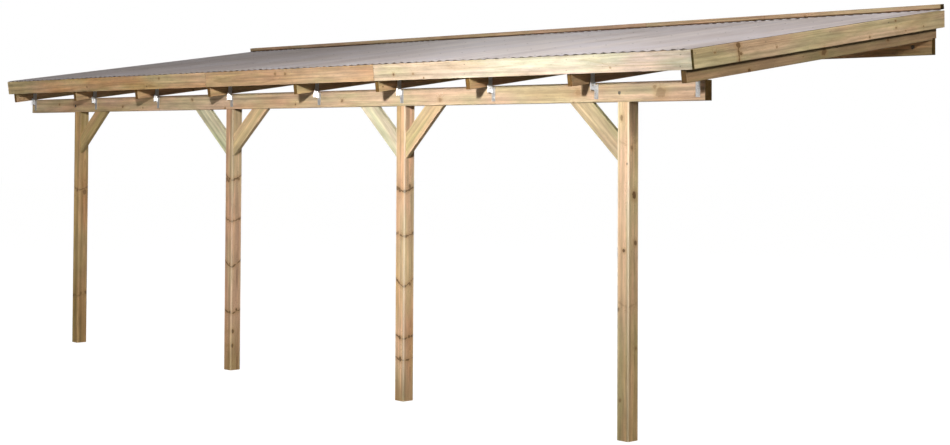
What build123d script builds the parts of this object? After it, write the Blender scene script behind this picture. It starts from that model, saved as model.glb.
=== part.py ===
from build123d import *
import os
from math import ceil, cos, hypot, radians, sin, tan

# Lean-to terrace roof of pressure-treated timber, in millimetres.
# X runs along the front beam, Y = 0 is the wall, -Y is the garden side, Z is up.
# The origin is the middle of the wall ledger's back face.

# Overall
ROOF_WIDTH = 7990.0          # over the side fascias
WALL_TO_FRONT = 2475.0       # wall face to the front faces of the posts and beam
CLEAR_HEIGHT = 2025.0        # ground to the underside of the front beam
SLOPE = 8.0                  # degrees, rising to the wall

# Timber sections
POST_SIZE = 90.0
BEAM_THICKNESS = 60.0
BEAM_HEIGHT = 120.0
LEDGER_THICKNESS = 45.0
LEDGER_HEIGHT = 112.0
RAFTER_THICKNESS = 36.0
RAFTER_HEIGHT = 145.0
BATTEN_WIDTH = 45.0
BATTEN_THICKNESS = 45.0
FASCIA_THICKNESS = 18.0
FASCIA_HEIGHT = 113.0
CAP_WIDTH = 45.0
CAP_HEIGHT = 35.0
BRACE_THICKNESS = 32.0
BRACE_WIDTH = 127.0

# Rounding of the planed long edges
POST_ROUND = 5.0
BEAM_ROUND = 4.0
RAFTER_ROUND = 3.0           # rafters, ledger and braces
BOARD_ROUND = 2.5            # fascias, caps and battens

# Places along X, from the middle of the roof
POST_CENTRES = (-3105.0, -780.0, 1265.0, 3307.0)
INNER_RAFTERS = (-2852.0, -1862.0, -814.0, 288.0, 1212.0, 2122.0, 3026.0)
CAP_JOINT = 1400.0
CAP_SET_IN = 95.0            # cap's left end from the roof's left side
SIDE_OVERHANG = 63.0         # side fascia's outer face beyond the end rafter
BEAM_SET_IN = 20.0           # beam's left end from the end rafter's outer face
LEDGER_SET_IN = 7.0          # ledger's ends from the end rafters' outer faces

# Rafters and roof edge
TAIL = 165.0                 # rafter tail beyond the front of the beam, at its underside
BEAM_SEAT = 3.0              # depth of the level seat at the beam's front edge
LEDGER_SEAT = 12.0           # depth of the level seat at the ledger's front face
FASCIA_GAP = 2.0             # side fascia's end behind the front fascia
BOARD_JOINT = 1.5            # gap between boards laid end to end
BATTEN_ROWS = 5
CAP_TO_WALL = 4.0

# Braces
BRACE_DROP = 360.0
BRACE_RUNS = (436.0, 441.0, 437.0, 405.0, 379.0, 403.0)   # along the beam, from left to right
BRACE_SETBACK = 10.0         # behind the post's front face

# Corrugated roof sheets
WAVE_PITCH = 76.0
WAVE_DEPTH = 8.0
SHEET_THICKNESS = 1.2
SHEET_GAP = 2.0              # to the side fascias
SHEET_OVERHANG = 4.0         # past the front fascia, on whose top edge the sheets lie
WAVES_COVERED = 13
WAVES_LAPPED = 1
LAP_CLEARANCE = 0.3

# Rafter anchors: an upper leg on the rafter's side, a shoulder and a lower leg on the beam
ANCHOR_PLATE = 2.0
ANCHOR_LEG_WIDTH = 32.0
ANCHOR_RISE = 85.0           # upper leg's end above the beam's top
ANCHOR_DROP = 100.0          # lower leg's end below the beam's top
ANCHOR_STEP = 31.0           # lower leg's near edge from the rafter's face
ANCHOR_FOLD_TOP = 30.0       # the fold beside the rafter, above and below the beam's top
ANCHOR_FOLD_LOW = 32.0
ANCHOR_SHOULDER = 28.0       # where the shoulder meets the lower leg, below the fold
ANCHOR_NECK = 20.0           # shoulder's upper corner from the rafter's face
ANCHOR_NECK_RISE = 12.0      # and above the beam's top
ANCHOR_OUTER_DROP = 8.0      # lower leg's outer corner below the beam's top
ANCHOR_CLEARANCE = 0.2

# Ledger bolts
WALL_BOLT_HOLE = 11.0
WALL_BOLT_COUNT = 8
WALL_BOLT_SPACING = 1080.0

# Worked out from the sizes above
OVER_RAFTERS = ROOF_WIDTH - 2 * SIDE_OVERHANG
PITCH = radians(SLOPE)
FRONT = -WALL_TO_FRONT
BEAM_TOP_ABOVE_GROUND = CLEAR_HEIGHT + BEAM_HEIGHT
UNDERSIDE_ABOVE_GROUND = BEAM_TOP_ABOVE_GROUND - BEAM_SEAT
LEDGER_RISE = (WALL_TO_FRONT - LEDGER_THICKNESS) * tan(PITCH) + LEDGER_SEAT
LEDGER_TOP_ABOVE_GROUND = UNDERSIDE_ABOVE_GROUND + LEDGER_RISE
GROUND = -(LEDGER_TOP_ABOVE_GROUND - LEDGER_HEIGHT / 2)
BEAM_BOTTOM = GROUND + CLEAR_HEIGHT
BEAM_TOP = BEAM_BOTTOM + BEAM_HEIGHT
UNDERSIDE = BEAM_TOP - BEAM_SEAT
LEDGER_TOP = LEDGER_HEIGHT / 2
END_RAFTER = (OVER_RAFTERS - RAFTER_THICKNESS) / 2
RAFTER_CENTRES = (-END_RAFTER,) + INNER_RAFTERS + (END_RAFTER,)
TAIL_ALONG = TAIL / cos(PITCH)
BATTEN_TOP = RAFTER_HEIGHT + BATTEN_THICKNESS
SHEET_TOP = BATTEN_TOP + WAVE_DEPTH
FASCIA_LOW = BATTEN_TOP - FASCIA_HEIGHT
SHEET_WAVES = WAVES_COVERED + WAVES_LAPPED
SHEET_COVER = WAVES_COVERED * WAVE_PITCH
SHEETED_WIDTH = ROOF_WIDTH - 2 * (FASCIA_THICKNESS + SHEET_GAP)
SHEET_COUNT = ceil((SHEETED_WIDTH - WAVES_LAPPED * WAVE_PITCH) / SHEET_COVER)

# Roof plane: X along the beam, Y up the slope from the beam's front, Z square to the slope,
# with Z = 0 at the rafters' underside
ROOF = Plane(origin=(0, FRONT, UNDERSIDE), x_dir=(1, 0, 0), z_dir=(0, -sin(PITCH), cos(PITCH)))


def along_slope(height, y=0.0):
    """Distance up the slope to the upright plane at y, measured at a height square to the slope."""
    return (y - FRONT + height * sin(PITCH)) / cos(PITCH)


def roof_section(x):
    """Upright plane at x, whose axes run up the slope and square to it."""
    return Plane(origin=(x, FRONT, UNDERSIDE), x_dir=(0, cos(PITCH), sin(PITCH)), z_dir=(1, 0, 0))


def finish(piece, name):
    piece.label = name
    export_step(piece, f"parts/{name}.step")


def cross_section(along):
    """Plane square to the slope, whose axes are X and the height above the rafters' underside."""
    return Plane(
        origin=ROOF.from_local_coords((0, along, 0)),
        x_dir=(1, 0, 0),
        z_dir=(0, -cos(PITCH), -sin(PITCH)),
    )


def level_timber(x_min, x_max, y_min, y_max, z_min, z_max, rounding):
    """A level timber along X, given by its faces."""
    with BuildPart() as stick:
        with BuildSketch(Plane.YZ.offset(x_min)):
            with Locations(((y_min + y_max) / 2, (z_min + z_max) / 2)):
                RectangleRounded(y_max - y_min, z_max - z_min, rounding)
        extrude(amount=x_max - x_min)
    return stick.part


def roof_board(x_min, x_max, start, end, low, high):
    """A timber along X in the roof plane, between two distances up the slope and two heights."""
    with BuildPart() as board:
        with BuildSketch(roof_section(x_min)):
            with Locations(((start + end) / 2, (low + high) / 2)):
                RectangleRounded(end - start, high - low, BOARD_ROUND)
        extrude(amount=x_max - x_min)
    return board.part


def slope_timber(x_min, x_max, start, low, high, rounding):
    """A timber that runs up the slope from a square end to an upright cut at the wall."""
    with BuildPart() as stick:
        with BuildSketch(cross_section(start)):
            with Locations(((x_min + x_max) / 2, (low + high) / 2)):
                RectangleRounded(x_max - x_min, high - low, rounding)
        past_wall = along_slope(high) + RAFTER_HEIGHT
        extrude(amount=start - past_wall)
        split(bisect_by=Plane.XZ, keep=Keep.TOP)
    return stick.part


def build_post(centre):
    """A square post, halved at its head so that the beam lies flush with its front."""
    with BuildPart() as post:
        with BuildSketch(Plane.XY.offset(GROUND)):
            with Locations((centre, FRONT + POST_SIZE / 2)):
                RectangleRounded(POST_SIZE, POST_SIZE, POST_ROUND)
        extrude(amount=BEAM_TOP - GROUND)
        with BuildSketch(Plane.XY.offset(BEAM_BOTTOM)):
            with Locations((centre, FRONT + BEAM_THICKNESS / 2)):
                Rectangle(POST_SIZE, BEAM_THICKNESS)
        extrude(amount=BEAM_HEIGHT, mode=Mode.SUBTRACT)
    return post.part


def build_brace(centre, run, side):
    """A knee brace on one side of a post: side is 1 for right and -1 for left."""
    foot = centre + side * POST_SIZE / 2
    middle = FRONT + BRACE_SETBACK + BRACE_THICKNESS / 2
    length = hypot(run, BRACE_DROP)
    section = Plane(
        origin=(foot, middle, BEAM_BOTTOM - BRACE_DROP),
        x_dir=(0, side, 0),
        z_dir=(side * run / length, 0, BRACE_DROP / length),
    )
    with BuildPart() as brace:
        with BuildSketch(section):
            with Locations((0, BRACE_WIDTH / 2)):
                RectangleRounded(BRACE_THICKNESS, BRACE_WIDTH, RAFTER_ROUND)
        extrude(amount=length)
        split(bisect_by=Plane.XY.offset(BEAM_BOTTOM), keep=Keep.BOTTOM)
        split(bisect_by=Plane.YZ.offset(foot), keep=Keep.TOP if side > 0 else Keep.BOTTOM)
    return brace.part


def build_rafter(centre):
    """A rafter with level seats on the beam and the ledger and an upright cut at the wall."""
    left = centre - RAFTER_THICKNESS / 2
    right = centre + RAFTER_THICKNESS / 2
    seat_run = BEAM_SEAT / tan(PITCH)
    with BuildPart() as rafter:
        add(slope_timber(left, right, -TAIL_ALONG, 0, RAFTER_HEIGHT, RAFTER_ROUND))
        with BuildSketch(Plane.YZ.offset(left)):
            with BuildLine():
                Polyline(
                    (FRONT, UNDERSIDE),
                    (FRONT, BEAM_TOP),
                    (FRONT + seat_run, BEAM_TOP),
                    close=True,
                )
            make_face()
            with Locations((-LEDGER_THICKNESS / 2, LEDGER_TOP - LEDGER_HEIGHT / 2)):
                Rectangle(LEDGER_THICKNESS, LEDGER_HEIGHT)
        extrude(amount=RAFTER_THICKNESS, mode=Mode.SUBTRACT)
    return rafter.part


def build_sheet(index):
    """A corrugated sheet; every second one lies over its neighbours, and the last is cut to fit."""
    start = -SHEETED_WIDTH / 2 + index * SHEET_COVER
    low = BATTEN_TOP + (index % 2) * (SHEET_THICKNESS + LAP_CLEARANCE)
    middle = low + (WAVE_DEPTH - SHEET_THICKNESS) / 2
    swing = (WAVE_DEPTH - SHEET_THICKNESS) / 2
    half = WAVE_PITCH / 2
    front_edge = -TAIL_ALONG - FASCIA_THICKNESS - SHEET_OVERHANG
    back_edge = along_slope(low, -CAP_TO_WALL)
    with BuildPart() as sheet:
        with BuildSketch(cross_section(front_edge)):
            with BuildLine():
                for lift in (0.0, SHEET_THICKNESS):
                    for number in range(2 * SHEET_WAVES):
                        x = start + number * half
                        peak = swing if number % 2 == 0 else -swing
                        ThreePointArc(
                            (x, middle + lift),
                            (x + half / 2, middle + lift + peak),
                            (x + half, middle + lift),
                        )
                for x in (start, start + SHEET_WAVES * WAVE_PITCH):
                    Line((x, middle), (x, middle + SHEET_THICKNESS))
            make_face()
        extrude(amount=-(back_edge - front_edge))
        if start + SHEET_WAVES * WAVE_PITCH > SHEETED_WIDTH / 2:
            split(bisect_by=Plane.YZ.offset(SHEETED_WIDTH / 2), keep=Keep.BOTTOM)
    return sheet.part


def build_anchor(face, side, step):
    """A folded anchor on a rafter's side face: side is 1 for right and -1 for left."""
    front = FRONT - ANCHOR_CLEARANCE
    face = face + side * ANCHOR_CLEARANCE
    near = face + side * step
    far = near + side * ANCHOR_LEG_WIDTH
    neck = face + side * ANCHOR_NECK
    fold_low = BEAM_TOP - ANCHOR_FOLD_LOW
    leg_top = fold_low - ANCHOR_SHOULDER
    with BuildPart() as anchor:
        with BuildSketch(Plane.XZ.offset(-front)):
            with BuildLine():
                Polyline(
                    (face, fold_low),
                    (near, leg_top),
                    (far, leg_top),
                    (far, BEAM_TOP - ANCHOR_OUTER_DROP),
                    (neck, BEAM_TOP + ANCHOR_NECK_RISE),
                    (face, BEAM_TOP + ANCHOR_FOLD_TOP),
                    close=True,
                )
            make_face()
            with BuildLine():
                Polyline(
                    (near, BEAM_TOP - ANCHOR_DROP),
                    (far, BEAM_TOP - ANCHOR_DROP),
                    (far, leg_top),
                    (near, leg_top),
                    close=True,
                )
            make_face()
        extrude(amount=ANCHOR_PLATE)
        with BuildSketch(Plane.YZ.offset(face)):
            with BuildLine():
                Polyline(
                    (front - ANCHOR_PLATE, BEAM_TOP + ANCHOR_CLEARANCE),
                    (front + ANCHOR_LEG_WIDTH, BEAM_TOP + ANCHOR_CLEARANCE),
                    (front + ANCHOR_LEG_WIDTH, BEAM_TOP + ANCHOR_RISE),
                    (front - ANCHOR_PLATE, BEAM_TOP + ANCHOR_RISE),
                    close=True,
                )
            make_face()
        extrude(amount=side * ANCHOR_PLATE)
    return anchor.part


os.makedirs("parts", exist_ok=True)

# Posts
for number, centre in enumerate(POST_CENTRES, start=1):
    finish(build_post(centre), f"post_{number}")

# Knee braces, with none outside the end posts
runs = iter(BRACE_RUNS)
for number, centre in enumerate(POST_CENTRES, start=1):
    if number > 1:
        finish(build_brace(centre, next(runs), -1), f"brace_{number}_left")
    if number < len(POST_CENTRES):
        finish(build_brace(centre, next(runs), 1), f"brace_{number}_right")

# Front beam
half_over_rafters = OVER_RAFTERS / 2
front_beam = level_timber(
    -half_over_rafters + BEAM_SET_IN, half_over_rafters,
    FRONT, FRONT + BEAM_THICKNESS,
    BEAM_BOTTOM, BEAM_TOP,
    BEAM_ROUND,
)
finish(front_beam, "front_beam")

# Wall ledger with its row of bolt holes
half_ledger = half_over_rafters - LEDGER_SET_IN
with BuildPart() as wall_ledger:
    add(
        level_timber(
            -half_ledger, half_ledger,
            -LEDGER_THICKNESS, 0,
            -LEDGER_HEIGHT / 2, LEDGER_HEIGHT / 2,
            RAFTER_ROUND,
        )
    )
    with Locations(Plane.XZ.offset(LEDGER_THICKNESS)):
        with GridLocations(WALL_BOLT_SPACING, 1, WALL_BOLT_COUNT, 1):
            Hole(WALL_BOLT_HOLE / 2)
finish(wall_ledger.part, "wall_ledger")

# Rafters
for number, centre in enumerate(RAFTER_CENTRES, start=1):
    finish(build_rafter(centre), f"rafter_{number}")

# Battens across the rafters, which carry the sheets and the side fascias
batten_end = ROOF_WIDTH / 2 - FASCIA_THICKNESS
first_row = -TAIL_ALONG
last_row = along_slope(RAFTER_HEIGHT) - BATTEN_WIDTH
for row in range(BATTEN_ROWS):
    start = first_row + row * (last_row - first_row) / (BATTEN_ROWS - 1)
    batten = roof_board(
        -batten_end, batten_end, start, start + BATTEN_WIDTH, RAFTER_HEIGHT, BATTEN_TOP
    )
    finish(batten, f"batten_{row + 1}")

# Front fascia in three boards that meet over rafters
joints = (RAFTER_CENTRES[3], RAFTER_CENTRES[5])
ends = (-ROOF_WIDTH / 2, joints[0], joints[1], ROOF_WIDTH / 2)
for index, name in enumerate(("left", "middle", "right")):
    left = ends[index] + (BOARD_JOINT / 2 if index > 0 else 0)
    right = ends[index + 1] - (BOARD_JOINT / 2 if index < 2 else 0)
    board = roof_board(
        left, right, -TAIL_ALONG - FASCIA_THICKNESS, -TAIL_ALONG, FASCIA_LOW, BATTEN_TOP
    )
    finish(board, f"front_fascia_{name}")

# Side fascias on the ends of the battens
side_start = -TAIL_ALONG + FASCIA_GAP
for name, inner in (("left", -ROOF_WIDTH / 2), ("right", ROOF_WIDTH / 2 - FASCIA_THICKNESS)):
    outer = inner + FASCIA_THICKNESS
    board = slope_timber(inner, outer, side_start, FASCIA_LOW, BATTEN_TOP, BOARD_ROUND)
    finish(board, f"side_fascia_{name}")

# Roof sheets
for index in range(SHEET_COUNT):
    finish(build_sheet(index), f"roof_sheet_{index + 1}")

# Cap battens over the sheets along the wall
cap_end = along_slope(SHEET_TOP, -CAP_TO_WALL)
half_roof = ROOF_WIDTH / 2
cap_low = SHEET_TOP + SHEET_THICKNESS + LAP_CLEARANCE
for name, left, right in (
    ("left", -half_roof + CAP_SET_IN, CAP_JOINT - BOARD_JOINT / 2),
    ("right", CAP_JOINT + BOARD_JOINT / 2, half_roof),
):
    cap = roof_board(left, right, cap_end - CAP_WIDTH, cap_end, cap_low, cap_low + CAP_HEIGHT)
    finish(cap, f"wall_cap_{name}")

# Anchors: right of each rafter, and left of the last one with its lower leg close to it
anchors = []
for centre in RAFTER_CENTRES[:-1]:
    anchors.append(build_anchor(centre + RAFTER_THICKNESS / 2, 1, ANCHOR_STEP))
anchors.append(build_anchor(RAFTER_CENTRES[-1] - RAFTER_THICKNESS / 2, -1, 0))
finish(Compound(children=anchors), "rafter_anchors")
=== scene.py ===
from functools import partial
from math import cos, pi, radians, sin

import bmesh
import bpy
from mathutils import Matrix, Vector


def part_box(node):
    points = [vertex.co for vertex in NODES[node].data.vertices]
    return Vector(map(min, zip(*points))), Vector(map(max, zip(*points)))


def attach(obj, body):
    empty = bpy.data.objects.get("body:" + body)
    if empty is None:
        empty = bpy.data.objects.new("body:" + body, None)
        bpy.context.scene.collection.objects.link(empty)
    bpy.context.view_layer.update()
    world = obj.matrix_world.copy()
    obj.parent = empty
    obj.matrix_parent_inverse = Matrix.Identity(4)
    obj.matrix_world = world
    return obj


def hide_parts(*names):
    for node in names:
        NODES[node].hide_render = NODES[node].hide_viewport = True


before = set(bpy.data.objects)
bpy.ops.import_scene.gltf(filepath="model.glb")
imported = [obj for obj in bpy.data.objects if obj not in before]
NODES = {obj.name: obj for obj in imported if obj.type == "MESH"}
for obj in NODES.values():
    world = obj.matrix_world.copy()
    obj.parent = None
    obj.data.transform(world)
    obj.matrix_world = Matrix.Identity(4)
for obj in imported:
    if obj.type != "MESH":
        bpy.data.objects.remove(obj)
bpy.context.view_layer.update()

# Lean-to terrace roof of pressure-treated pine with tinted corrugated sheets, in metres.
# X runs along the front beam, Y to the back, Z up, as in the frame.

# The image that the camera is framed for
IMAGE_WIDTH = 950
IMAGE_HEIGHT = 445

# The slope, and the directions and levels that the timbers share
SLOPE = radians(8)
ALONG_X = Vector((1, 0, 0))
ALONG_Y = Vector((0, 1, 0))
ALONG_Z = Vector((0, 0, 1))
UP_SLOPE = Vector((0, cos(SLOPE), sin(SLOPE)))
OFF_SLOPE = Vector((0, -sin(SLOPE), cos(SLOPE)))
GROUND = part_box("post_1")[0].z
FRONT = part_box("post_1")[0].y
BEAM_LOW, BEAM_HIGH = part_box("front_beam")
BEAM_SEAT = 0.003
RAFTER_ORIGIN = Vector((0, FRONT, BEAM_HIGH.z - BEAM_SEAT))
RAFTER_HEIGHT = 0.145
BATTEN_TOP = 0.190
BATTEN_MIDDLE = (RAFTER_HEIGHT + BATTEN_TOP) / 2
FASCIA_LOW = 0.077
FASCIA_THICKNESS = 0.018
TAIL_ALONG = 0.165 / cos(SLOPE)

# The sheets' waves: each sheet covers 13 of them and every second one lies over its neighbours
WAVE_PITCH = 0.076
WAVE_DEPTH = 0.008
WAVES_COVERED = 13
LAP_RISE = 0.0015

# Names of the nodes that repeat
POSTS = tuple(f"post_{number}" for number in range(1, 5))
BRACES = (
    "brace_1_right",
    "brace_2_left", "brace_2_right",
    "brace_3_left", "brace_3_right",
    "brace_4_left",
)
RAFTERS = tuple(f"rafter_{number}" for number in range(1, 10))
BATTENS = tuple(f"batten_{number}" for number in range(1, 6))
SHEETS = tuple(f"roof_sheet_{number}" for number in range(1, 9))


def slope_point(x, along, height):
    """A point given along X, up the slope from the beam's front and square to the slope."""
    return RAFTER_ORIGIN + x * ALONG_X + along * UP_SLOPE + height * OFF_SLOPE


# Linear colours of treated pine: early and late wood, then tints and stains that multiply them
PALE = ((0.64, 0.47, 0.29, 1), (0.45, 0.29, 0.14, 1))
TAN = ((0.62, 0.45, 0.27, 1), (0.42, 0.26, 0.12, 1))
PINK = ((0.68, 0.475, 0.30, 1), (0.46, 0.28, 0.145, 1))
ROSE = ((0.57, 0.43, 0.29, 1), (0.42, 0.285, 0.165, 1))
CREAM = ((0.63, 0.54, 0.435, 1), (0.52, 0.41, 0.29, 1))
OLIVE = ((0.56, 0.45, 0.30, 1), (0.39, 0.285, 0.165, 1))
SAGE = ((0.64, 0.56, 0.42, 1), (0.51, 0.42, 0.29, 1))
AMBER = ((0.58, 0.40, 0.22, 1), (0.37, 0.215, 0.09, 1))
DUSK = ((0.56, 0.385, 0.195, 1), (0.34, 0.195, 0.075, 1))
GOLD = ((0.78, 0.585, 0.395, 1), (0.55, 0.37, 0.22, 1))
DIM = ((0.41, 0.31, 0.19, 1), (0.26, 0.18, 0.10, 1))
FLESH = ((0.60, 0.415, 0.265, 1), (0.39, 0.235, 0.125, 1))
HONEY = ((0.56, 0.415, 0.255, 1), (0.42, 0.285, 0.15, 1))
CAP = ((0.46, 0.33, 0.215, 1), (0.29, 0.195, 0.115, 1))
# The ledger's colour is lifted above its wood's own, painted light that stands in for light it doesn't get
BROWN = ((0.88, 0.65, 0.38, 1), (0.54, 0.36, 0.18, 1))
GREEN_TINT = (0.93, 1.01, 0.90, 1)
PINK_TINT = (1.06, 0.98, 0.99, 1)
GREEN_STAIN = (0.84, 0.97, 0.80, 1)
PINK_STAIN = (1.0, 0.86, 0.78, 1)
ORANGE_STAIN = (0.98, 0.78, 0.58, 1)
TAN_STAIN = (0.92, 0.88, 0.72, 1)
TAIL_END = (0.30, 0.23, 0.11, 1)
DARK_END = (0.14, 0.12, 0.06, 1)


# Node trees

class Tree:
    """A node tree written as nested calls: each call adds a node and returns its outputs."""

    def __init__(self, tree):
        self.tree = tree

    def put(self, socket, value):
        if isinstance(value, bpy.types.NodeSocket):
            self.tree.links.new(value, socket)
        else:
            socket.default_value = value

    def node(self, kind, inputs=(), **settings):
        node = self.tree.nodes.new(kind)
        for name, value in settings.items():
            setattr(node, name, value)
        pairs = inputs.items() if isinstance(inputs, dict) else enumerate(inputs)
        for key, value in pairs:
            self.put(node.inputs[key], value)
        return node

    def math(self, operation, *values, clamp=False):
        return self.node("ShaderNodeMath", values, operation=operation, use_clamp=clamp).outputs[0]

    def vector_math(self, operation, *values):
        node = self.node("ShaderNodeVectorMath", values, operation=operation)
        return node.outputs["Value" if operation == "LENGTH" else "Vector"]

    def combine(self, x=0.0, y=0.0, z=0.0):
        return self.node("ShaderNodeCombineXYZ", (x, y, z)).outputs[0]

    def separate(self, vector):
        return self.node("ShaderNodeSeparateXYZ", (vector,)).outputs

    def stretch(self, vector, factors):
        return self.vector_math("MULTIPLY", vector, factors)

    def noise(self, vector, detail=3.0, roughness=0.5, output="Fac"):
        inputs = {"Vector": vector, "Scale": 1.0, "Detail": detail, "Roughness": roughness}
        return self.node("ShaderNodeTexNoise", inputs).outputs[output]

    def ramp(self, value, low, high, start=0.0, end=1.0, smooth=True):
        node = self.node("ShaderNodeMapRange", (value, low, high, start, end))
        node.interpolation_type = "SMOOTHSTEP" if smooth else "LINEAR"
        return node.outputs[0]

    def mix(self, factor, first, second, blend="MIX"):
        node = self.node("ShaderNodeMix", data_type="RGBA", blend_type=blend)
        self.put(node.inputs["Factor"], factor)
        self.put(node.inputs[6], first)
        self.put(node.inputs[7], second)
        return node.outputs[2]

    def group(self, group, **inputs):
        node = self.tree.nodes.new("ShaderNodeGroup")
        node.node_tree = group
        for name, value in inputs.items():
            self.put(node.inputs[name.replace("_", " ")], value)
        return node.outputs


def new_group(name, inputs, outputs):
    """An empty node group with sockets of the given names and kinds."""
    tree = bpy.data.node_groups.new(name, "ShaderNodeTree")
    for in_out, sockets in (("INPUT", inputs), ("OUTPUT", outputs)):
        for label, kind in sockets:
            tree.interface.new_socket(label, in_out=in_out, socket_type=kind)
    start = tree.nodes.new("NodeGroupInput")
    end = tree.nodes.new("NodeGroupOutput")
    return Tree(tree), start.outputs, end.inputs


def new_material(name):
    material = bpy.data.materials.new(name)
    material.use_nodes = True
    tree = Tree(material.node_tree)
    return material, tree, material.node_tree.nodes["Principled BSDF"]


FLOAT = "NodeSocketFloat"
VECTOR = "NodeSocketVector"
COLOUR = "NodeSocketColor"


def make_knot_group():
    """One knot through a board: its mask, its halo and how far it pushes the growth rings aside."""
    tree, given, result = new_group(
        "knot",
        (("Vector", VECTOR), ("Along", FLOAT), ("Across", FLOAT), ("Radius", FLOAT), ("Core", FLOAT)),
        (("Mask", FLOAT), ("Halo", FLOAT), ("Push", FLOAT)),
    )
    x, y, _ = tree.separate(given["Vector"])
    stretched = tree.combine(
        tree.math("MULTIPLY", tree.math("SUBTRACT", x, given["Along"]), 0.75),
        tree.math("SUBTRACT", y, given["Across"]),
    )
    wobble = tree.noise(tree.stretch(given["Vector"], (48, 48, 48)), detail=3.0)
    length = tree.vector_math("LENGTH", stretched)
    bend = tree.math("MULTIPLY", tree.math("SUBTRACT", wobble, 0.5), given["Radius"])
    distance = tree.math("ADD", length, tree.math("MULTIPLY", bend, 1.5))
    near = tree.math("DIVIDE", distance, given["Radius"])
    whole = tree.math("MULTIPLY", tree.ramp(near, 1.05, 0.85), given["Core"])
    edge = tree.math("MULTIPLY", tree.ramp(near, 0.75, 0.98), tree.ramp(near, 1.22, 1.0))
    tree.put(result["Mask"], tree.math("MAXIMUM", whole, tree.math("MULTIPLY", edge, 0.35)))
    tree.put(result["Halo"], tree.ramp(near, 2.6, 0.9))
    tree.put(result["Push"], tree.math("MULTIPLY", tree.ramp(near, 5.0, 0.6), given["Radius"]))
    return tree.tree


def make_whorl_group():
    """A whorl of knots: a dark band across the front and right faces that dips at their corner."""
    tree, given, result = new_group(
        "whorl",
        (("Vector", VECTOR), ("Along", FLOAT), ("Rise", FLOAT), ("Core", FLOAT)),
        (("Mask", FLOAT), ("Halo", FLOAT), ("Push", FLOAT)),
    )
    corner = 0.045
    spread = 0.07
    x, y, z = tree.separate(given["Vector"])
    round_edge = tree.math("SUBTRACT", tree.math("ADD", y, z), corner)
    from_corner = tree.math("ABSOLUTE", tree.math("DIVIDE", round_edge, spread))
    bow = tree.math("POWER", from_corner, 1.6)
    curve = tree.math("MULTIPLY", bow, given["Rise"])
    wobble = tree.noise(tree.stretch(given["Vector"], (60, 60, 60)), detail=3.0)
    bent = tree.math("MULTIPLY", tree.math("SUBTRACT", wobble, 0.5), 0.018)
    above = tree.math("SUBTRACT", x, given["Along"])
    away = tree.math("ABSOLUTE", tree.math("SUBTRACT", above, tree.math("ADD", curve, bent)))
    shifted = tree.vector_math("ADD", tree.stretch(given["Vector"], (38, 38, 38)), (3.1, 7.7, 1.9))
    thick = tree.noise(shifted)
    reach = tree.ramp(thick, 0.36, 0.64, 0.0018, 0.0105)
    line = tree.ramp(tree.math("DIVIDE", away, reach), 1.15, 0.6)
    broken = tree.math("MULTIPLY", tree.ramp(thick, 0.33, 0.5, 0.35, 1.0), given["Core"], clamp=True)
    tree.put(result["Mask"], tree.math("MULTIPLY", line, broken))
    tree.put(result["Halo"], tree.math("MULTIPLY", tree.ramp(away, 0.035, 0.004), given["Core"]))
    tree.put(result["Push"], tree.math("MULTIPLY", tree.ramp(away, 0.05, 0.0), 0.010))
    return tree.tree


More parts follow.
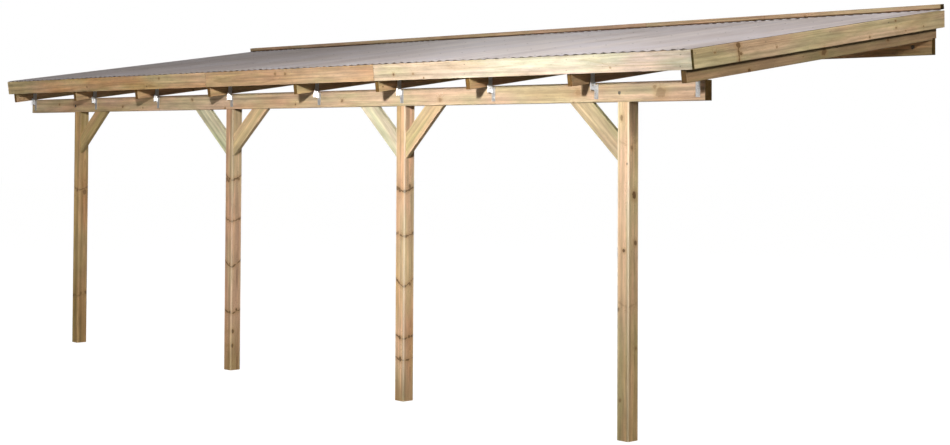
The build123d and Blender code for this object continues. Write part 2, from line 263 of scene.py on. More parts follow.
def make_pine_group():
    """Pine in board coordinates: X along the grain, Y and Z across it, from the board's origin."""
    tree, given, result = new_group(
        "pine",
        (
            ("Vector", VECTOR), ("Face Normal", VECTOR), ("Pith", VECTOR), ("Seed", FLOAT),
            ("Early", COLOUR), ("Late", COLOUR), ("Stain", COLOUR), ("Stain Amount", FLOAT),
            ("Knot Chance", FLOAT), ("Knot Mask", FLOAT), ("Knot Halo", FLOAT), ("Knot Push", FLOAT),
            # Painted light: shade that darkens a post towards its foot, a shadow strip along a board's
            # lower edge, and a highlight along a post's arrises
            ("End Tint", COLOUR), ("Foot", FLOAT), ("Edge", FLOAT), ("Arris", FLOAT), ("Rubbed", FLOAT),
        ),
        (("Color", COLOUR), ("Roughness", FLOAT), ("Height", FLOAT)),
    )
    seed = tree.combine(given["Seed"], given["Seed"], given["Seed"])
    place = tree.vector_math("ADD", given["Vector"], seed)

    # The direction across each face: Y, or Z on the sides whose normal lies along Y
    normal_x, normal_y, _ = tree.separate(given["Face Normal"])
    on_side = tree.math("GREATER_THAN", tree.math("ABSOLUTE", normal_y), 0.7)
    on_end = tree.math("GREATER_THAN", tree.math("ABSOLUTE", normal_x), 0.7)
    x, y, z = tree.separate(given["Vector"])
    side_shift = 0.37
    sideways = tree.math("ADD", z, side_shift)
    across = tree.math("ADD", y, tree.math("MULTIPLY", on_side, tree.math("SUBTRACT", sideways, y)))

    # Random small knots, one for each stretch of grain, and none on end grain
    spacing = 0.42
    shifted = tree.math("ADD", tree.math("ADD", x, given["Seed"]), tree.math("MULTIPLY", on_side, 3.3))
    cells = tree.node(
        "ShaderNodeTexVoronoi",
        {"W": tree.math("DIVIDE", shifted, spacing), "Scale": 1.0, "Randomness": 0.8},
        voronoi_dimensions="1D",
    ).outputs
    along = tree.math("SUBTRACT", shifted, tree.math("MULTIPLY", cells["W"], spacing))
    chance_r, chance_g, chance_b = tree.separate(cells["Color"])
    side_start = tree.math("MULTIPLY", on_side, side_shift)
    offset = tree.math("MULTIPLY", tree.math("SUBTRACT", chance_r, 0.5), 0.09)
    gap = tree.math("SUBTRACT", across, tree.math("ADD", side_start, offset))
    small = tree.math("ADD", 0.003, tree.math("MULTIPLY", chance_g, 0.009))
    there = tree.math("LESS_THAN", chance_b, given["Knot Chance"])
    radius = tree.math("MAXIMUM", tree.math("MULTIPLY", small, there), 0.0001)
    wobble = tree.noise(tree.stretch(place, (70, 70, 70)), detail=2.0)
    bent = tree.math("MULTIPLY", tree.math("SUBTRACT", wobble, 0.5), 0.005)
    length = tree.vector_math("LENGTH", tree.combine(along, gap))
    near = tree.math("DIVIDE", tree.math("ADD", length, bent), radius)
    clear_of_end = tree.math("SUBTRACT", 1.0, on_end)
    shown = tree.math("MULTIPLY", there, clear_of_end)
    small_mask = tree.math("MULTIPLY", tree.ramp(near, 1.1, 0.7), shown)
    small_halo = tree.math("MULTIPLY", tree.ramp(near, 2.6, 0.9), shown)
    small_push = tree.math("MULTIPLY", tree.math("MULTIPLY", tree.ramp(near, 5.0, 0.6), radius), shown)
    mask = tree.math("MAXIMUM", given["Knot Mask"], small_mask)
    halo = tree.math("MAXIMUM", given["Knot Halo"], small_halo)
    push = tree.math("ADD", given["Knot Push"], small_push)

    # Growth rings about a pith that wanders along the grain
    ring_width = 0.0045
    grey = (0.5, 0.5, 0.5)
    far_along = tree.math("MULTIPLY", tree.math("ADD", x, given["Seed"]), 0.7)
    drift = tree.noise(tree.combine(far_along), detail=2.0, output="Color")
    drift = tree.stretch(tree.vector_math("SUBTRACT", drift, grey), (0, 0.05, 0.05))
    ripple = tree.noise(tree.stretch(place, (1.1, 14, 14)), detail=4.0, output="Color")
    ripple = tree.stretch(tree.vector_math("SUBTRACT", ripple, grey), (0, 0.009, 0.009))
    from_pith = tree.vector_math("SUBTRACT", given["Vector"], given["Pith"])
    from_pith = tree.vector_math("ADD", tree.vector_math("ADD", from_pith, drift), ripple)
    _, ring_y, ring_z = tree.separate(from_pith)
    ring_radius = tree.vector_math("LENGTH", tree.combine(0.0, ring_y, ring_z))
    ring_radius = tree.math("ADD", ring_radius, tree.math("MULTIPLY", push, 1.3))
    rings = tree.math("DIVIDE", ring_radius, ring_width)
    year = tree.math("FRACT", rings)
    ring = {"W": tree.math("FLOOR", rings)}
    strength = tree.node("ShaderNodeTexWhiteNoise", ring, noise_dimensions="1D").outputs["Value"]
    late = tree.math("MULTIPLY", tree.ramp(year, 0.35, 0.85), tree.ramp(year, 1.0, 0.9))
    late = tree.math("MULTIPLY", late, tree.ramp(strength, 0.0, 1.0, 0.45, 1.0))

    # Tone: broad patches, long streaks, blotches, specks and fine fibres
    broad = tree.noise(tree.stretch(place, (0.9, 5, 5)), detail=2.0)
    patches = tree.ramp(broad, 0.4, 0.62)
    streaks = tree.noise(tree.stretch(place, (0.8, 42, 42)), detail=4.0, roughness=0.6)
    fibres = tree.noise(tree.stretch(place, (7, 420, 420)), detail=2.0)
    colour = tree.mix(tree.math("MULTIPLY", late, 0.62), given["Early"], given["Late"])
    stained = tree.math("MULTIPLY", patches, given["Stain Amount"])
    colour = tree.mix(stained, colour, given["Stain"], "MULTIPLY")
    tone = tree.ramp(streaks, 0.3, 0.7, 0.64, 1.2, smooth=False)
    tone = tree.math("MULTIPLY", tone, tree.ramp(fibres, 0.2, 0.8, 0.92, 1.07, smooth=False))
    blotches = tree.noise(tree.stretch(place, (5, 26, 26)), detail=5.0, roughness=0.65)
    tone = tree.math("MULTIPLY", tone, tree.ramp(blotches, 0.3, 0.7, 0.77, 1.16, smooth=False))
    specks = tree.noise(tree.stretch(place, (70, 260, 260)), detail=2.0)
    tone = tree.math("MULTIPLY", tone, tree.ramp(specks, 0.62, 0.74, 1.0, 0.6))
    shifted = tree.vector_math("ADD", tree.stretch(place, (1.7, 9, 9)), (4.1, 2.3, 8.7))
    tint = tree.noise(shifted, detail=3.0)
    tint = tree.mix(tree.ramp(tint, 0.36, 0.64), GREEN_TINT, PINK_TINT)
    colour = tree.mix(1.0, colour, tint, "MULTIPLY")
    colour = tree.mix(1.0, colour, tree.combine(tone, tone, tone), "MULTIPLY")

    # Knots: a warm halo, then the dark knot itself
    colour = tree.mix(tree.math("MULTIPLY", halo, 0.45), colour, (0.38, 0.225, 0.10, 1))
    core = tree.noise(tree.stretch(given["Vector"], (160, 160, 160)), detail=1.0)
    knot_colour = tree.mix(core, (0.065, 0.036, 0.017, 1), (0.21, 0.115, 0.052, 1))
    colour = tree.mix(tree.math("MULTIPLY", mask, 0.9), colour, knot_colour)

    # Painted highlight: the arrises of a square post are paler, as if they caught the light; Arris is half
    # its width
    half_width = given["Arris"]
    beside = tree.math("SUBTRACT", tree.math("ABSOLUTE", y), half_width)
    depth = tree.math("ABSOLUTE", tree.math("SUBTRACT", z, half_width))
    behind = tree.math("SUBTRACT", depth, half_width)
    from_arris = tree.vector_math("LENGTH", tree.combine(beside, behind))
    arris_highlight = tree.ramp(tree.math("ADD", from_arris, tree.math("MULTIPLY", broad, 0.012)), 0.022, 0.007)
    colour = tree.mix(tree.math("MULTIPLY", arris_highlight, given["Rubbed"]), colour, (0.96, 0.86, 0.68, 1))

    # Dark end grain, painted shade that darkens a post towards the ground and fades upwards, and a painted
    # shadow along a board's lower edge
    colour = tree.mix(on_end, colour, given["End Tint"], "MULTIPLY")
    # Painted shade: a post grows darker towards the ground, where the light falls off
    has_falloff = tree.math("GREATER_THAN", given["Foot"], 0.0)
    falloff_shade = tree.math("MULTIPLY", tree.ramp(x, given["Foot"], 0.0), has_falloff)
    colour = tree.mix(falloff_shade, colour, (0.72, 0.71, 0.60, 1), "MULTIPLY")
    # Painted shadow: a dark strip along a board's lower edge, for the shade in the gap beneath it
    has_shadow = tree.math("GREATER_THAN", given["Edge"], 0.0)
    lowest = tree.math("DIVIDE", y, tree.math("MAXIMUM", given["Edge"], 0.0001))
    painted_shadow = tree.math("MULTIPLY", tree.ramp(lowest, 1.15, 0.85), has_shadow)
    colour = tree.mix(painted_shadow, colour, (0.22, 0.17, 0.13, 1), "MULTIPLY")
    tree.put(result["Color"], colour)

    # Late wood is smoother and stands proud, and knots lie lower
    tree.put(result["Roughness"], tree.ramp(late, 0.0, 1.0, 0.74, 0.6, smooth=False))
    relief = tree.math("MULTIPLY", late, 0.5)
    relief = tree.math("ADD", relief, tree.math("MULTIPLY", fibres, 0.6))
    relief = tree.math("SUBTRACT", relief, tree.math("MULTIPLY", mask, 0.6))
    tree.put(result["Height"], relief)
    return tree.tree


KNOT = make_knot_group()
WHORL = make_whorl_group()
PINE = make_pine_group()


def board_mapping(tree, axis, across, origin):
    """Board coordinates of the surface and its normal, from the shared frame."""
    turn = Matrix((axis, across, axis.cross(across)))
    coordinates = tree.node("ShaderNodeTexCoord").outputs
    angles = turn.to_euler("XYZ")
    place = tree.node("ShaderNodeMapping", {"Rotation": angles, "Location": -(turn @ Vector(origin))})
    tree.put(place.inputs["Vector"], coordinates["Object"])
    normal = tree.node("ShaderNodeMapping", {"Rotation": angles}, vector_type="VECTOR")
    tree.put(normal.inputs["Vector"], coordinates["Normal"])
    return place.outputs[0], normal.outputs[0]


def pine(name, axis, across, origin, tones, stain, amount, pith, seed, knot_chance=0.35,
         knots=(), side_knots=(), whorls=(), end_tint=TAIL_END, foot=0.0, edge=0.0, arris=0.0, arris_highlight=0.0):
    """A board's material, from its origin and its directions along and across the grain.

    Knots are (along, across, radius, core), side knots the same on the faces beside the front one,
    and whorls (along, rise, core). Foot is how far up a post painted shade reaches, darkening it
    towards the ground, edge how high a painted shadow strip reaches along a board's lower edge,
    and arris the half width of a post whose corners get a painted highlight by the given amount.
    """
    material, tree, shader = new_material(name)
    place, normal = board_mapping(tree, axis, across, origin)
    x, y, z = tree.separate(place)
    sideways = tree.combine(x, z, y)
    marks = [
        tree.group(KNOT, Vector=vector, Along=along, Across=aside, Radius=radius, Core=core)
        for vector, group in ((place, knots), (sideways, side_knots))
        for along, aside, radius, core in group
    ]
    marks += [
        tree.group(WHORL, Vector=place, Along=along, Rise=rise, Core=core)
        for along, rise, core in whorls
    ]
    mask = halo = push = 0.0
    for knot in marks:
        mask = tree.math("MAXIMUM", mask, knot["Mask"])
        halo = tree.math("MAXIMUM", halo, knot["Halo"])
        push = tree.math("ADD", push, knot["Push"])
    wood = tree.group(
        PINE, Vector=place, Face_Normal=normal, Pith=(0, *pith), Seed=seed,
        Early=tones[0], Late=tones[1], Stain=stain, Stain_Amount=amount,
        Knot_Chance=knot_chance, Knot_Mask=mask, Knot_Halo=halo, Knot_Push=push,
        End_Tint=end_tint, Foot=foot, Edge=edge, Arris=arris, Rubbed=arris_highlight,
    )
    bump = tree.node("ShaderNodeBump", {"Strength": 0.5, "Distance": 0.0006, "Height": wood["Height"]})
    tree.put(shader.inputs["Base Color"], wood["Color"])
    tree.put(shader.inputs["Roughness"], wood["Roughness"])
    tree.put(shader.inputs["Normal"], bump.outputs[0])
    shader.inputs["Specular IOR Level"].default_value = 0.35
    return material


def dress(name, material):
    data = NODES[name].data
    data.materials.clear()
    data.materials.append(material)


def dress_posts():
    """Each post from the middle of its foot: X up, Y to the right, Z to the back."""
    tones = (DUSK, FLESH, PINK, GOLD)
    stains = (ORANGE_STAIN, PINK_STAIN, ORANGE_STAIN, TAN_STAIN)
    # How far up each post the painted shade reaches, darkening it towards the ground
    shade_heights = (1.3, 0.6, 0.3, 1.7)
    # How strong the painted highlight along each post's arrises is
    arris_highlight = (0.05, 0.2, 0.3, 0.55)
    knots = (
        ((1.34, 0.015, 0.013, 0.8), (0.41, -0.030, 0.011, 0.7)),
        ((1.478, -0.026, 0.013, 1.0), (1.468, 0.0, 0.011, 1.0), (0.451, 0.030, 0.009, 1.0),
         (0.821, 0.02, 0.007, 0.7)),
        ((1.457, -0.028, 0.013, 1.0), (1.447, -0.005, 0.012, 1.0), (0.433, 0.005, 0.010, 1.0),
         (0.289, 0.010, 0.012, 1.0), (1.15, -0.02, 0.007, 0.8)),
        ((0.78, -0.036, 0.009, 0.8), (1.93, -0.012, 0.011, 0.7), (0.24, -0.02, 0.007, 0.4)),
    )
    side_knots = (
        ((1.32, 0.055, 0.018, 0.7), (0.43, 0.030, 0.011, 0.6), (0.44, 0.075, 0.009, 0.8)),
        ((0.301, 0.017, 0.011, 1.0), (0.189, 0.015, 0.010, 0.9), (1.17, 0.07, 0.008, 1.0),
         (1.485, 0.06, 0.011, 0.8), (0.465, 0.05, 0.009, 1.0)),
        ((1.149, 0.079, 0.010, 1.0), (1.47, 0.05, 0.012, 0.8), (0.44, 0.05, 0.010, 1.0),
         (0.80, 0.055, 0.008, 0.9)),
        ((1.465, 0.050, 0.018, 1.0), (1.18, 0.062, 0.012, 0.9), (1.75, 0.03, 0.010, 0.6),
         (0.55, 0.07, 0.007, 0.5)),
    )
    whorls = (
        ((1.34, 0.02, 0.6), (0.41, 0.015, 0.5)),
        ((1.475, 0.03, 1.0), (1.152, 0.02, 0.8), (0.80, 0.035, 1.0), (0.441, 0.018, 1.3)),
        ((1.437, 0.025, 1.0), (1.129, 0.015, 0.9), (0.785, 0.038, 1.2), (0.428, 0.015, 1.3),
         (0.279, 0.012, 1.0)),
        ((1.77, 0.02, 0.2), (0.80, 0.02, 0.25)),
    )
    for index, name in enumerate(POSTS):
        low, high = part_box(name)
        origin = ((low.x + high.x) / 2, low.y, low.z)
        dress(name, pine(
            name, ALONG_Z, ALONG_X, origin, tones[index], stains[index], 0.7,
            pith=(0.012 * (index - 1), 0.055), seed=7.3 * index + 1.1, knot_chance=0.1,
            knots=knots[index], side_knots=side_knots[index], whorls=whorls[index],
            foot=shade_heights[index], arris=(high.x - low.x) / 2, arris_highlight=arris_highlight[index],
        ))


def dress_beam_and_ledger():
    """The level timbers, from the lower edge at mid length: X along, Y up."""
    beam_knots = (
        (3.600, 0.052, 0.026, 0.45), (3.555, 0.085, 0.010, 0.5), (2.937, 0.062, 0.014, 0.3),
        (1.669, 0.036, 0.012, 0.5), (0.62, 0.045, 0.010, 0.7),
        (-1.30, 0.082, 0.011, 0.7), (-2.35, 0.040, 0.010, 0.8), (-3.42, 0.071, 0.010, 0.8),
    )
    origin = (0, FRONT, BEAM_LOW.z)
    dress("front_beam", pine(
        "front_beam", ALONG_X, ALONG_Z, origin, ROSE, ORANGE_STAIN, 0.5,
        pith=(-0.04, 0.16), seed=31.7, knots=beam_knots, end_tint=DARK_END,
    ))
    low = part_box("wall_ledger")[0]
    # The ledger's lifted colour is painted light that stands in for light it doesn't get
    dress("wall_ledger", pine(
        "wall_ledger", ALONG_X, ALONG_Z, (0, low.y, low.z), BROWN, ORANGE_STAIN, 0.8,
        pith=(0.03, -0.12), seed=44.2, end_tint=DARK_END,
    ))


def dress_braces():
    """Each brace, from its lower end at the post: X up the brace, Y across it."""
    tones = (DUSK, SAGE, PINK, SAGE, PALE, ROSE)
    for index, name in enumerate(BRACES):
        low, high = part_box(name)
        side = 1 if name.endswith("right") else -1
        foot = Vector((low.x if side > 0 else high.x, low.y, low.z))
        axis = Vector((side * (high.x - low.x), 0, high.z - low.z)).normalized()
        across = axis.cross(ALONG_Y)
        dress(name, pine(
            name, axis, across, foot, tones[index], GREEN_STAIN, 0.7,
            pith=(-0.06, 0.10), seed=3.9 * index + 60.0, knot_chance=0.4,
        ))


def dress_roof_timbers():
    """Rafters, battens, fascias and caps, all in the roof's own directions."""
    last_knots = ((1.187, 0.043, 0.019, 0.8), (1.912, 0.050, 0.010, 0.9), (0.42, 0.010, 0.011, 1.0))
    for index, name in enumerate(RAFTERS):
        last = name == RAFTERS[-1]
        low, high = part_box(name)
        middle = (low.x + high.x) / 2
        dress(name, pine(
            name, UP_SLOPE, OFF_SLOPE, slope_point(middle, 0, 0),
            DIM if last else AMBER, PINK_STAIN, 0.6,
            pith=(0.06 + 0.01 * index, 0.03), seed=5.1 * index + 90.0,
            knots=last_knots if last else (),
        ))
    for index, name in enumerate(BATTENS):
        dress(name, pine(
            name, ALONG_X, OFF_SLOPE, slope_point(0, 0, RAFTER_HEIGHT), TAN, GREEN_STAIN, 0.7,
            pith=(0.07, 0.15 * index), seed=2.7 * index + 150.0,
        ))
    front = slope_point(0, -TAIL_ALONG, FASCIA_LOW)
    boards = (
        ("front_fascia_left", TAN, ORANGE_STAIN,
         ((-1.47, 0.085, 0.009, 0.7), (-2.6, 0.04, 0.008, 0.7))),
        ("front_fascia_middle", HONEY, PINK_STAIN,
         ((0.088, 0.079, 0.010, 0.6), (0.209, 0.076, 0.010, 0.6))),
        ("front_fascia_right", CREAM, TAN_STAIN,
         ((1.62, 0.04, 0.006, 0.5), (3.38, 0.03, 0.005, 0.4))),
    )
    for index, (name, tones, stain, knots) in enumerate(boards):
        dress(name, pine(
            name, ALONG_X, OFF_SLOPE, front, tones, stain, 0.8,
            pith=(0.02 + 0.03 * index, -0.10), seed=11.3 * index + 180.0, knot_chance=0.25,
            knots=knots, end_tint=DARK_END,
        ))
    side_knots = (
        (0.25, 0.096, 0.016, 1.0), (0.27, 0.045, 0.010, 0.9), (0.03, 0.075, 0.006, 0.6),
        (0.62, 0.05, 0.005, 0.6), (1.92, 0.095, 0.007, 0.8), (1.92, 0.05, 0.007, 0.7),
        (2.03, 0.02, 0.005, 0.7), (2.25, 0.03, 0.005, 0.7),
    )
    for index, name in enumerate(("side_fascia_left", "side_fascia_right")):
        right_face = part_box(name)[1].x
        dress(name, pine(
            name, UP_SLOPE, OFF_SLOPE, slope_point(right_face, 0, FASCIA_LOW), OLIVE, PINK_STAIN, 0.6,
            pith=(0.04, 0.13), seed=9.7 * index + 230.0, knots=side_knots, whorls=((0.25, 0.0, 1.0),),
        ))
    # The caps get a painted shadow strip along their lower edge, where they sit over the sheets
    for index, name in enumerate(("wall_cap_left", "wall_cap_right")):
        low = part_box(name)[0]
        dress(name, pine(
            name, ALONG_X, OFF_SLOPE, (0, low.y, low.z), CAP, PINK_STAIN, 0.5,
            pith=(0.05, 0.06), seed=6.1 * index + 260.0, end_tint=DARK_END, edge=0.009,
        ))


def sheet_material():
    """Smoke-tinted corrugated plastic, dulled in long streaks where rain runs down it."""
    material, tree, shader = new_material("roof_sheet")
    place, _ = board_mapping(tree, UP_SLOPE, ALONG_X, slope_point(0, 0, 0))
    streaks = tree.noise(tree.stretch(place, (0.35, 5, 5)), detail=5.0, roughness=0.6)
    dust = tree.noise(tree.stretch(place, (1.5, 2.2, 2.2)), detail=3.0)
    colour = tree.mix(tree.ramp(streaks, 0.35, 0.65), (0.46, 0.405, 0.40, 1), (0.60, 0.54, 0.52, 1))
    colour = tree.mix(tree.ramp(dust, 0.4, 0.7), colour, (0.55, 0.51, 0.53, 1))
    tree.put(shader.inputs["Base Color"], colour)
    tree.put(shader.inputs["Roughness"], tree.ramp(dust, 0.3, 0.7, 0.38, 0.55))
    shader.inputs["IOR"].default_value = 1.53
    shader.inputs["Transmission Weight"].default_value = 0.3
    return material


def cap_material():
    """Smoke-tinted caps of the roof screws, dulled by weather."""
    material, tree, shader = new_material("screw_cap")
    place = tree.node("ShaderNodeTexCoord").outputs["Object"]
    dust = tree.noise(tree.stretch(place, (300, 300, 300)), detail=2.0)
    colour = tree.mix(dust, (0.27, 0.25, 0.25, 1), (0.36, 0.335, 0.335, 1))
    tree.put(shader.inputs["Base Color"], colour)
    tree.put(shader.inputs["Roughness"], tree.ramp(dust, 0.3, 0.7, 0.7, 0.85))
    shader.inputs["Specular IOR Level"].default_value = 0.2
    return material


def galvanised_material():
    """Hot-dip galvanised steel with its spangle."""
    material, tree, shader = new_material("galvanised_steel")
    place = tree.node("ShaderNodeTexCoord").outputs["Object"]
    spangle = tree.node("ShaderNodeTexVoronoi", {"Vector": place, "Scale": 160.0}).outputs["Color"]
    facet, other, _ = tree.separate(spangle)
    colour = tree.mix(facet, (0.62, 0.62, 0.62, 1), (0.90, 0.89, 0.87, 1))
    tree.put(shader.inputs["Base Color"], colour)
    tree.put(shader.inputs["Roughness"], tree.ramp(other, 0.0, 1.0, 0.3, 0.5))
    shader.inputs["Metallic"].default_value = 0.75
    return material


def zinc_material():
    """Weathered zinc on bolts and screws, with fine dull specks."""
    material, tree, shader = new_material("zinc_plate")
    place = tree.node("ShaderNodeTexCoord").outputs["Object"]
    specks = tree.noise(tree.stretch(place, (900, 900, 900)), detail=2.0)
    colour = tree.mix(specks, (0.27, 0.235, 0.17, 1), (0.46, 0.43, 0.37, 1))
    tree.put(shader.inputs["Base Color"], colour)
    tree.put(shader.inputs["Roughness"], tree.ramp(specks, 0.3, 0.7, 0.2, 0.34))
    shader.inputs["Metallic"].default_value = 0.9
    return material


HOLE_SIDES = 10


class Shape:
    """A mesh in the shared frame that is put together from plates and turned heads."""

    def __init__(self, name):
        self.name = name
        self.mesh = bmesh.new()

    def plate(self, place, outline, thickness, holes=()):
        """A flat plate from its outline and holes (u, v, radius), grown along its normal."""
        loops = [[Vector((u, v, 0)) for u, v in outline]]
        for u, v, radius in holes:
            turns = [2 * pi * step / HOLE_SIDES for step in range(HOLE_SIDES)]
            loops.append([Vector((u + radius * cos(turn), v + radius * sin(turn), 0)) for turn in turns])
        edges = []
        for loop in loops:
            corners = [self.mesh.verts.new(place @ corner) for corner in loop]
            for index, corner in enumerate(corners):
                edges.append(self.mesh.edges.new((corner, corners[(index + 1) % len(corners)])))
        filled = bmesh.ops.triangle_fill(self.mesh, use_beauty=True, edges=edges)["geom"]
        faces = [item for item in filled if isinstance(item, bmesh.types.BMFace)]
        grown = bmesh.ops.extrude_face_region(self.mesh, geom=faces, use_keep_orig=True)["geom"]
        corners = [item for item in grown if isinstance(item, bmesh.types.BMVert)]
        shift = place.to_3x3() @ Vector((0, 0, thickness))
        bmesh.ops.translate(self.mesh, verts=corners, vec=shift)

    def head(self, place, profile, sides):
        """A head turned about the local normal from (radius, height) points, closed at its top."""
        rings = []
        for radius, height in profile:
            turns = [2 * pi * step / sides for step in range(sides)]
            rings.append([
                self.mesh.verts.new(place @ Vector((radius * cos(turn), radius * sin(turn), height)))
                for turn in turns
            ])
        for lower, upper in zip(rings, rings[1:]):
            for index in range(sides):
                after = (index + 1) % sides
                self.mesh.faces.new((lower[index], lower[after], upper[after], upper[index]))
        self.mesh.faces.new(rings[-1])

    def done(self, material):
        bmesh.ops.recalc_face_normals(self.mesh, faces=self.mesh.faces)
        data = bpy.data.meshes.new(self.name)
        self.mesh.to_mesh(data)
        self.mesh.free()
        data.materials.append(material)
        piece = bpy.data.objects.new(self.name, data)
        bpy.context.scene.collection.objects.link(piece)
        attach(piece, "root")
        return piece


def place_at(origin, u, v):
    """A local plane in the shared frame: its origin and its two directions."""
    return Matrix.Translation(origin) @ Matrix((u, v, u.cross(v))).transposed().to_4x4()


# Heads, as (radius, height) from the face they lie on
NAIL = ((0.0034, 0.0), (0.0034, 0.0006), (0.0022, 0.0014), (0.0006, 0.0017))
SCREW = ((0.0042, -0.0006), (0.0040, 0.0003), (0.0018, 0.0003), (0.0012, -0.0008))
SCREW_CAP = ((0.0066, -0.0012), (0.0062, 0.0003), (0.0042, 0.0012), (0.0010, 0.0017))
COACH_BOLT = ((0.0115, 0.0), (0.0112, 0.0012), (0.0090, 0.0036), (0.0055, 0.0052), (0.0015, 0.0058))
WASHER = ((0.0145, 0.0), (0.0145, 0.0016), (0.0080, 0.0016))
HEXAGON = ((0.0095, 0.0016), (0.0095, 0.0066), (0.0080, 0.0076))

# Anchors: u is measured from the rafter's side, v from the beam's top, and proud from its face
PLATE = 0.002
STAND_OFF = 0.0004
HOLE_RADIUS = 0.0025
FOLD_PROUD = 0.004
WIDE_RIDGE = ((0, FOLD_PROUD), (0.020, 0.026), (0.040, 0.003))
NARROW_RIDGE = ((0, FOLD_PROUD), (0.012, 0.003))
LEG_STEP = 0.031
LEG_WIDTH = 0.032
LEG_DROP = 0.100
WEB_DEPTH = 0.032
WEB_RISE = 0.085


def anchor_point(face, side, u, v, proud):
    """A point of the anchor on a rafter's side face: side is 1 for the right one, -1 for the left."""
    return Vector((face + side * (u + STAND_OFF), FRONT - proud, BEAM_HIGH.z + v))


def staggered_holes(u, v, across, rise):
    """Five holes up a plate, every second one shifted across."""
    return [(u + across * (row % 2), v + rise * row, HOLE_RADIUS) for row in range(5)]


def anchor_shoulder(shape, at, side, ridge):
    """The shoulder: plates from the web out to a ridge and back to the leg."""
    for fold, ((u, proud), (next_u, next_proud)) in enumerate(zip(ridge, ridge[1:])):
        start = at(u, 0, proud)
        slant = at(next_u, 0, next_proud) - start
        width = slant.length
        outline = (
            (0, -0.040), (width, -0.048), (width, 0.002), (width / 2, 0.012), (0, 0.014),
        )
        holes = ((width / 2, -0.018, 0.0035),) if fold == 1 else ()
        shape.plate(place_at(start, slant.normalized(), ALONG_Z), outline, side * PLATE, holes)


def anchor_leg(shape, at, side, step):
    """The leg that lies on the beam's face, with a nail in every second hole."""
    place = place_at(at(0, -LEG_DROP, STAND_OFF), side * ALONG_X, ALONG_Z)
    outline = ((step, 0), (step + LEG_WIDTH, 0), (step + LEG_WIDTH, 0.092), (step, 0.084))
    holes = staggered_holes(step + 0.008, 0.010, 0.016, 0.0125)
    shape.plate(place, outline, side * PLATE, holes)
    for u, v, _ in holes[1::2]:
        spot = at(u, v - LEG_DROP, STAND_OFF + PLATE)
        shape.head(place_at(spot, ALONG_X, ALONG_Z), NAIL, sides=10)


def anchor_web(shape, at, side):
    """The web that lies on the rafter's side, with a neck before the beam's face."""
    place = place_at(at(0, 0, FOLD_PROUD), ALONG_Y, ALONG_Z)
    beam_face = FOLD_PROUD - STAND_OFF
    back = FOLD_PROUD + WEB_DEPTH
    outline = (
        (0, -0.030), (beam_face, -0.018), (beam_face, 0.0005), (back, 0.0005),
        (back, WEB_RISE), (FOLD_PROUD, WEB_RISE), (0, 0.030),
    )
    holes = staggered_holes(FOLD_PROUD + 0.008, 0.018, 0.015, 0.0135)
    shape.plate(place, outline, side * PLATE, holes)
    for u, v, _ in holes[::2]:
        spot = at(PLATE, v, FOLD_PROUD - u)
        shape.head(place_at(spot, side * ALONG_Y, ALONG_Z), NAIL, sides=10)


def build_anchors(steel):
    """A folded and perforated anchor right of each rafter, and left of the last one."""
    shape = Shape("perforated_rafter_anchors")
    for name in RAFTERS:
        low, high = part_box(name)
        last = name == RAFTERS[-1]
        side = -1 if last else 1
        at = partial(anchor_point, low.x if last else high.x, side)
        anchor_shoulder(shape, at, side, NARROW_RIDGE if last else WIDE_RIDGE)
        anchor_leg(shape, at, side, 0.0 if last else LEG_STEP)
        anchor_web(shape, at, side)
    piece = shape.done(steel)
    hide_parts("rafter_anchors")


def build_bolts(steel):
    """Domed bolts where the end posts meet the beam, and hexagon bolts through the ledger."""
    shape = Shape("beam_coach_bolts")
    aside = 0.030
    above = 0.056
    for name in (POSTS[0], POSTS[-1]):
        low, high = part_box(name)
        spot = Vector(((low.x + high.x) / 2 - aside, FRONT, BEAM_LOW.z + above))
        shape.head(place_at(spot, ALONG_X, ALONG_Z), COACH_BOLT, sides=20)
    shape.done(steel)
    shape = Shape("ledger_bolts")
    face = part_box("wall_ledger")[0].y
    count = 8
    spacing = 1.080
    for index in range(count):
        spot = Vector(((index - (count - 1) / 2) * spacing, face, 0))
        shape.head(place_at(spot, ALONG_X, ALONG_Z), WASHER, sides=24)
        shape.head(place_at(spot, ALONG_X, ALONG_Z), HEXAGON, sides=6)
    shape.done(steel)


def along_batten(name):
    """How far up the slope a batten's middle lies."""
    low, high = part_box(name)
    return ((low.y + high.y) / 2 - FRONT + BATTEN_MIDDLE * sin(SLOPE)) / cos(SLOPE)


def build_fascia_screws(steel):
    """Countersunk screws: two into each rafter's tail and one into each end of each batten."""
    shape = Shape("fascia_screws")
    for name in RAFTERS:
        low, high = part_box(name)
        middle = (low.x + high.x) / 2
        for lift, nudge in ((0.100, -0.004), (0.165, 0.005)):
            spot = slope_point(middle + nudge, -TAIL_ALONG - FASCIA_THICKNESS, lift)
            shape.head(place_at(spot, ALONG_X, OFF_SLOPE), SCREW, sides=10)
    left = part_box("side_fascia_left")[0].x
    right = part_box("side_fascia_right")[1].x
    for name in BATTENS:
        for side, outer in ((-1, left), (1, right)):
            spot = slope_point(outer, along_batten(name), BATTEN_MIDDLE)
            shape.head(place_at(spot, side * UP_SLOPE, OFF_SLOPE), SCREW, sides=10)
    shape.done(steel)


def build_roof_screws(plastic):
    """Low capped screws on every third crest of the sheets, in rows over the battens."""
    shape = Shape("roof_screw_caps")
    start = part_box("roof_sheet_1")[0].x + WAVE_PITCH / 4
    for name in BATTENS:
        along = along_batten(name)
        for crest in range(1, len(SHEETS) * WAVES_COVERED, 3):
            sheet, wave = divmod(crest, WAVES_COVERED)
            lap = LAP_RISE if sheet % 2 or wave == 0 else 0.0
            spot = slope_point(start + crest * WAVE_PITCH, along, BATTEN_TOP + WAVE_DEPTH + lap)
            if spot.x < -start:
                shape.head(place_at(spot, ALONG_X, UP_SLOPE), SCREW_CAP, sides=12)
    shape.done(plastic)


def stage_mesh(name, draw):
    shape = bmesh.new()
    draw(shape)
    mesh = bpy.data.meshes.new(name)
    shape.to_mesh(mesh)
    shape.free()
    piece = bpy.data.objects.new(name, mesh)
    bpy.context.scene.collection.objects.link(piece)
    return piece


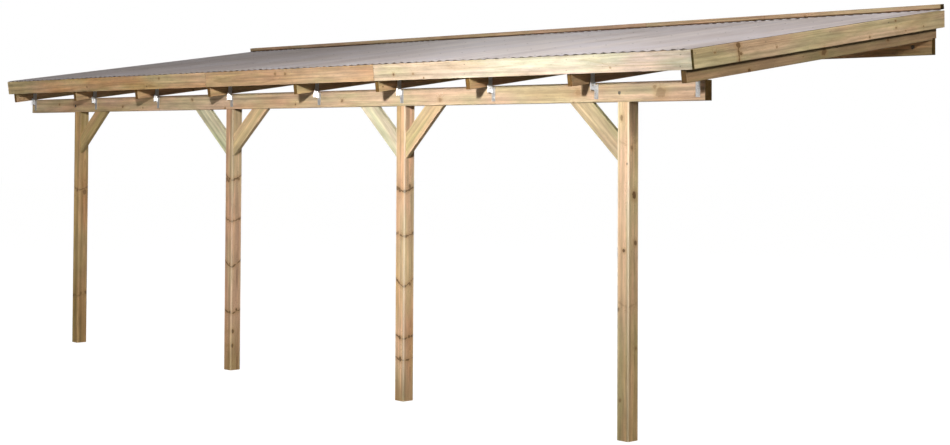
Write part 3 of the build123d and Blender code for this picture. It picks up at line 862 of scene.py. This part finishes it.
def build_stage():
    """A plain pale floor under the feet and a white surround, neither of which lights the roof."""
    reach = 60.0
    floor = stage_mesh("floor", partial(bmesh.ops.create_grid, x_segments=4, y_segments=4, size=reach))
    floor.data.transform(Matrix.Translation((0, 0, GROUND)))
    ball = partial(bmesh.ops.create_uvsphere, u_segments=48, v_segments=24, radius=reach * 0.98)
    surround = stage_mesh("surround", ball)
    for piece, base, glow in ((floor, 0.12, 0.985), (surround, 0.0, 1.0)):
        material, tree, shader = new_material(piece.name)
        shader.inputs["Base Color"].default_value = (base, base, base, 1)
        shader.inputs["Roughness"].default_value = 0.9
        shader.inputs["Specular IOR Level"].default_value = 0.0
        shader.inputs["Emission Color"].default_value = (1, 1, 1, 1)
        shader.inputs["Emission Strength"].default_value = glow
        piece.data.materials.append(material)
        piece.visible_diffuse = False
        piece.visible_glossy = False
        piece.visible_shadow = False


def set_camera():
    """The viewpoint: in front and to the right, at eye level, with the picture shifted down."""
    place = Vector((9.8857, FRONT - 7.4293, GROUND + 1.784))
    yaw = radians(46.666)
    pitch = radians(1.64)
    roll = radians(0.282)
    focal_pixels = 1647.4
    axis_row = 94.2
    sensor = 36.0
    forward = Vector((-sin(yaw) * cos(pitch), cos(yaw) * cos(pitch), sin(pitch)))
    level = Vector((cos(yaw), sin(yaw), 0))
    upward = level.cross(forward)
    right = cos(roll) * level + sin(roll) * upward
    above = -sin(roll) * level + cos(roll) * upward
    data = bpy.data.cameras.new("camera")
    data.sensor_fit = "HORIZONTAL"
    data.sensor_width = sensor
    data.lens = focal_pixels / IMAGE_WIDTH * sensor
    data.shift_y = (axis_row - IMAGE_HEIGHT / 2) / IMAGE_WIDTH
    data.clip_end = 300.0
    camera = bpy.data.objects.new("camera", data)
    turn = Matrix((right, above, -forward)).transposed()
    camera.matrix_world = Matrix.Translation(place) @ turn.to_4x4()
    bpy.context.scene.collection.objects.link(camera)
    bpy.context.scene.camera = camera


def add_light(name, data, place, target, power, colour=(1, 1, 1)):
    """A light aimed at a point, without reflections of itself."""
    data.energy = power
    data.color = colour
    light = bpy.data.objects.new(name, data)
    light.visible_glossy = False
    light.location = place
    light.rotation_euler = (Vector(target) - Vector(place)).to_track_quat("-Z", "Y").to_euler()
    bpy.context.scene.collection.objects.link(light)
    return light


def light_disk(name, place, target, size, power, colour=(1, 1, 1)):
    data = bpy.data.lights.new(name, "AREA")
    data.shape = "DISK"
    data.size = size
    add_light(name, data, place, target, power, colour)


def add_shine(light):
    """Give a light its reflections by a copy that leaves out the roof sheets."""
    light.visible_transmission = False
    shine = light.copy()
    shine.visible_glossy = True
    shine.visible_diffuse = False
    bpy.context.scene.collection.objects.link(shine)
    matt = bpy.data.collections.new("without_shine")
    for name in SHEETS:
        matt.objects.link(NODES[name])
    for item in matt.collection_objects:
        item.light_linking.link_state = "EXCLUDE"
    shine.light_linking.receiver_collection = matt


def set_light():
    """A key light in front that is aimed high towards the left end, and soft fills round it."""
    world = bpy.data.worlds.new("studio")
    world.use_nodes = True
    background = world.node_tree.nodes["Background"]
    tree = Tree(world.node_tree)
    _, _, upward = tree.separate(tree.node("ShaderNodeTexCoord").outputs["Generated"])
    tree.put(background.inputs["Strength"], tree.ramp(upward, -0.95, -0.25, 0.045, 0.115))
    background.inputs["Color"].default_value = (1, 0.94, 0.84, 1)
    bpy.context.scene.world = world
    key = bpy.data.lights.new("key", "SPOT")
    key.spot_size = radians(180)
    key.spot_blend = 1.0
    key.shadow_soft_size = 0.2
    key_light = add_light("key", key, (3.9, -6.4, 0.9), (-3.5, -2.4, 1.6), 1750)
    add_shine(key_light)
    light_disk("left_fill", (-4.5, -8.5, 0.6), (-2.5, -2.4, -0.8), 1.2, 120)
    light_disk("right_fill", (10.5, -2.75, 2.0), (3.5, -2.3, -0.4), 1.0, 320, (1, 0.94, 0.85))
    light_disk("top_fill", (5.0, -1.5, 4.2), (3.6, -1.3, 0), 2.0, 170)
    light_disk("back_fill", (-6.0, 6.0, 4.0), (0, 0, -0.5), 3.0, 230)
    light_disk("rear_fill", (1.0, 10.0, 0.9), (0, 0, -0.6), 3.0, 420)


dress_posts()
dress_beam_and_ledger()
dress_braces()
dress_roof_timbers()
tinted = sheet_material()
for sheet_name in SHEETS:
    dress(sheet_name, tinted)
build_anchors(galvanised_material())
zinc = zinc_material()
build_bolts(zinc)
build_fascia_screws(zinc)
build_roof_screws(cap_material())
build_stage()
set_camera()
set_light()
bpy.context.scene.view_settings.view_transform = "Standard"
